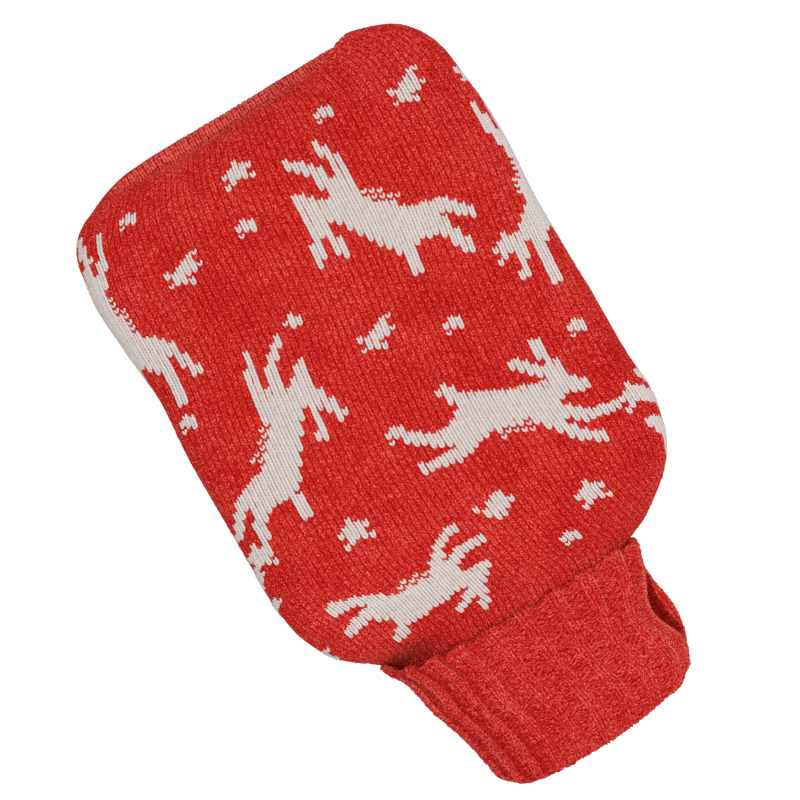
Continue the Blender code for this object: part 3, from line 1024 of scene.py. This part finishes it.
# The pocket at the right, for each stitch: how open it is there, how much shade is painted on the
# stitch in it, how much painted highlight it has on its edges, and how uneven it lies.
def pocketLook(grid, place, row, number):
    nowhere = -99.0  # further left than anything
    high = grid[..., 2] > ribStitch["pocketHeight"]
    edge = np.where(high, grid[..., 0], nowhere).max(axis=1)
    opening = np.where(high, nowhere, grid[..., 0]).max(axis=1) - edge
    opening = opening[row]
    inward = place[:, 0] - edge[row]
    dark, pale = ribStitch["pocketPaintedShade"]
    between = rise(inward / np.maximum(opening, 0.5), dark, pale - dark)
    pocket = rise(opening, *ribStitch["pocketOpen"])
    front = number <= cuff["pushKnots"][0][1]
    inside = ~front & (number < cuff["pushKnots"][1][1])
    # Painted shade under the front edge, in the inner part of the pocket.
    shade = 1 - 2 * pocket * (1 - between) * inside
    # Painted highlights along the front edge.
    paler = 0
    for where, width, more in ribStitch["edgeHighlights"]:
        paler = paler + more * pocket * front * hump(inward, where, width)
    less, wide, reach = ribStitch["pocketCalm"]
    near = np.where(inside, 1, front * hump(inward, -1, reach))
    calm = 1 - less * rise(opening, 0, wide) * near
    return pocket, shade, paler, calm


def knitCuff():
    grid = evenRows(cuffGrid(1.0, 4, False), cuff["rowHeight"])
    columns = cuff["ribs"] * cuff["stitchesPerRib"]
    rowCount = len(grid) - 1
    row, number = np.meshgrid(np.arange(rowCount), np.arange(columns), indexing="ij")
    row, number = row.ravel(), number.ravel()
    inRib = number % cuff["stitchesPerRib"]
    sway = dice.normal(0, ribStitch["rowSway"], (rowCount, 1))
    sway = sway + dice.normal(0, ribStitch["sway"], (rowCount, columns))
    fractions = number / columns + dice.normal(0, ribStitch["slide"], len(row))
    rows, drift, widths = row + 0.5 + sway.ravel(), 0 * row, np.full(len(row), 1 / columns)
    place, across, along, normal = stitchPlaces(grid, rows, fractions, drift, widths)
    normal = -normal  # the rows run the other way from the bag's
    width, height = sizeOf(across), sizeOf(along)
    toneSpread, legToneSpread = ribStitch["tones"]
    tone = np.clip(0.5 + dice.normal(0, toneSpread, len(row)), 0, 1)
    pocket, shade, paler, calm = pocketLook(grid, place, row, number)
    # Painted highlight on the pocket's front edge.
    tone = tone + paler
    # Painted shade deepens the grooves at the upper left.
    where, spread, more = ribStitch["groovePaintedShade"]
    shade = shade - more * (inRib == 2) * hump(ribPlace(number), where, spread)
    phase = dice.uniform(0, ribStitch["phases"], columns)[number]
    # The ribs' painted highlights come and go, and are clearest at both sides.
    highlightTone, lineWidth = ribStitch["ribHighlight"]
    clear = 0.55 + 0.45 * np.clip(np.abs(np.sin(np.pi * ribPlace(number))) * 1.6 - 0.4, 0, 1)
    line = highlightTone * clear * np.clip(0.35 + 0.75 * np.sin(phase + row / 6), 0, 1)
    first, last = ribStitch["pocketRib"]
    line = line * np.where((number > first) & (number < last), 1 - pocket, 1)
    place = place + dice.normal(0, ribStitch["jitter"], place.shape) * calm[:, None]
    centre = place - ribStitch["sink"] * normal
    outerTurn, innerTurn, purlTurn = ribStitch["turns"]
    plainSpread, purlSpread = ribStitch["widths"]
    legs, tones, shades = [], [], []

    # The rows run from the free edge, so a plain stitch opens the other way.
    plain = inRib < 2
    for side in (1, -1):
        path = stitch["leg"] * (side, -ribStitch["lean"], 1)
        outer = (inRib[plain] == 1) == (side == 1)
        half = stitch["halfWidth"] * width[plain] * (1 + dice.normal(0, plainSpread, plain.sum()))
        half = half * np.where(outer, lineWidth, 1)
        unders = (stitch["outerUnder"], stitch["innerUnder"])[::side]
        turns = np.where(outer, outerTurn, innerTurn) * calm[plain]
        both = turned(across[plain], along[plain], turns)
        legs.append(layLegs(
            centre[plain], *both, normal[plain], path, half, *unders,
            ribStitch["over"], ribStitch["relief"]))
        tones.append(tone[plain] + line[plain] * outer)
        shades.append(shade[plain])
    # A purl stitch is a bow each way, with one more beside the next rib.
    for chosen, shift, bend in ((~plain, 0.0, 1), (~plain, -0.5, -1), (inRib == 3, 0.5, -1)):
        count = chosen.sum()
        path = stitch["purl"] * (1, bend, 1) + (shift, 0.25 * bend, 0.1 * (bend - 1))
        half = stitch["purlHalfWidth"] * height[chosen] * (1 + dice.normal(0, purlSpread, count))
        both = turned(across[chosen], along[chosen], purlTurn * calm[chosen])
        moved = dice.normal(0, ribStitch["purlJitter"], (count, 3)) * calm[chosen][:, None]
        legs.append(layLegs(
            centre[chosen] + moved, *both, normal[chosen], path, half,
            stitch["purlUnder"], stitch["purlUnder"], stitch["purlOver"], 1.0))
        tones.append(tone[chosen])
        shades.append(shade[chosen])
    legs = np.concatenate(legs)
    shades = np.concatenate(shades)[:, None]
    tones = np.concatenate(tones) + dice.normal(0, legToneSpread, len(legs))
    # Painted shade on each leg, going below 0 where the pocket is darkest.
    paintedShades = paintedLegShade(*np.full((2, len(legs)), ribStitch["light"]))
    paintedShades = paintedShades * np.maximum(shades, 0) + np.minimum(shades, 0)
    pieces = []
    for number, part in enumerate(np.array_split(np.arange(len(legs)), 2)):
        pieces.append(yarnPiece(
            f"cuffKnit{number + 1}", legs[part], np.zeros(len(part)),
            np.clip(tones[part], 0, 4), paintedShades[part], ribWool))
    print("cuff stitches", len(row), "rows", rowCount)
    return pieces


# Thin cloth behind the cuff's stitches: their face, then back along the layers' other sides.
def cuffCloth():
    perStitch = 2
    face = cuffGrid(cuff["clothRibs"], perStitch, True)
    count = face.shape[1]
    number = np.arange(count) / perStitch
    after, reach, share = cuff["lipCloth"]
    onLip = np.abs(number - cuff["pushKnots"][1][1] - after) < reach
    inset = cuff["clothInset"] * np.where(onLip, share, 1)
    face = face + gridNormals(face) * inset[None, :, None]
    fractions = ribPlace(number)
    gap = 0.5 * cuff["layerGap"]
    rings = list(face[::2])
    for away in np.linspace(1.0, 0.0, 12):
        rings.append(cuffRing("inner", away, 0, -gap, 0, fractions))
    for turn in np.radians((-45, 0, 45)):
        rings.append(cuffRing("outer", 0, gap * np.cos(turn), gap * np.sin(turn), 0, fractions))
    for away in np.linspace(0.0, 0.97, 14):
        rings.append(cuffRing("outer", away, 0, gap, 0, fractions))
    points = np.array(rings).reshape(-1, 3)
    triangles = np.zeros((0, 3), int)
    quads = ringQuads(len(rings), count, True)[:, ::-1]
    return clothPiece("cuffCloth", points, triangles, quads, 0, ribWool)


cuffPieces = knitCuff()
turnedCloth = cuffCloth()
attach(turnedCloth, "root")
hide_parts("cuff")
for piece in cuffPieces:
    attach(piece, "root")
print("cuff done")


# The view: straight down, with the base end turned to the upper left.
view = {
    "turn": 29.0,  # degrees
    "middle": (-0.95, 13.1, 24.0),
    "distance": 1600.0,
    "perPixel": 0.48,  # mm at the middle of the cover
    "pixels": 800,
    "sensor": 36.0,
}
camera = bpy.data.cameras.new("camera")
camera.sensor_width = view["sensor"]
camera.lens = view["sensor"] * view["distance"] / (view["pixels"] * view["perPixel"])
camera.clip_start = 0.05
camera.clip_end = 20.0
eye = newObject("camera", camera)
eye.location = (np.array(view["middle"]) + (0, 0, view["distance"])) * mm
eye.rotation_euler = (0, 0, -np.radians(view["turn"]))
scene.camera = eye

# Floor and light, in metres and watts
studio = {
    "floorHalf": 3,
    "floor": {
        "Base Color": (0.4, 0.4, 0.4, 1),
        "Roughness": 0.9,
        "Emission Color": (1, 1, 1, 1),
        "Emission Strength": 0.85,
    },
    "sky": {"Color": (1, 1, 1, 1), "Strength": 0.45},
}
corners = [(x, y, 0) for x, y in ((-1, -1), (1, -1), (1, 1), (-1, 1))]
floorMesh = bpy.data.meshes.new("floor")
floorMesh.from_pydata(np.array(corners) * studio["floorHalf"], [], [(0, 1, 2, 3)])
floorLook = bpy.data.materials.new("paleFloor")
floorLook.use_nodes = True
fill(floorLook.node_tree.nodes["Principled BSDF"], studio["floor"])
floorMesh.materials.append(floorLook)
floor = newObject("floor", floorMesh)

lamps = table(
    "x y z size power",
    (0.50, -0.20, 1.8, 1, 19),
    (-0.8, 0.4, 1.6, 1.6, 8),
)
for number, (x, y, z, size, power) in enumerate(lamps["rows"]):
    light = bpy.data.lights.new(f"softbox{number + 1}", "AREA")
    light.size = size
    light.energy = power
    lamp = newObject(light.name, light)
    lamp.location = (x, y, z)
    lamp.rotation_euler = (np.arctan2(np.hypot(x, y), z), 0, np.arctan2(x, -y))  # at the middle
world = bpy.data.worlds.new("studio")
scene.world = world
world.use_nodes = True
fill(world.node_tree.nodes["Background"], studio["sky"])
scene.view_settings.view_transform = "Standard"
